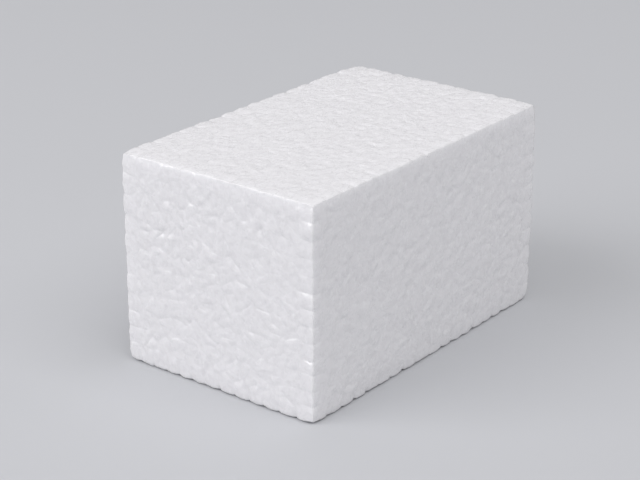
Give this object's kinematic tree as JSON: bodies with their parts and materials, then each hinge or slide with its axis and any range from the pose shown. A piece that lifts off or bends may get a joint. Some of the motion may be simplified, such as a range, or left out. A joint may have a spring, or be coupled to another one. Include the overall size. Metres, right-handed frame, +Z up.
{
  "type": "foam block",
  "caption": "Plain rectangular block of white moulded bead foam, with beaded sides and softly rounded edges.",
  "frame": {"origin": "middle of the underside, in the plane of the bead crowns that the block rests on", "axes": "+X along the length, +Y along the width, +Z up"},
  "size_m": [0.12, 0.075, 0.07],
  "materials": {
    "bead_foam": "white bead foam, matte, with a faint gloss on the pressed crowns of the beads"
  },
  "bodies": {
    "root": {"foam_block": "bead_foam"}
  },
  "joints": []
}
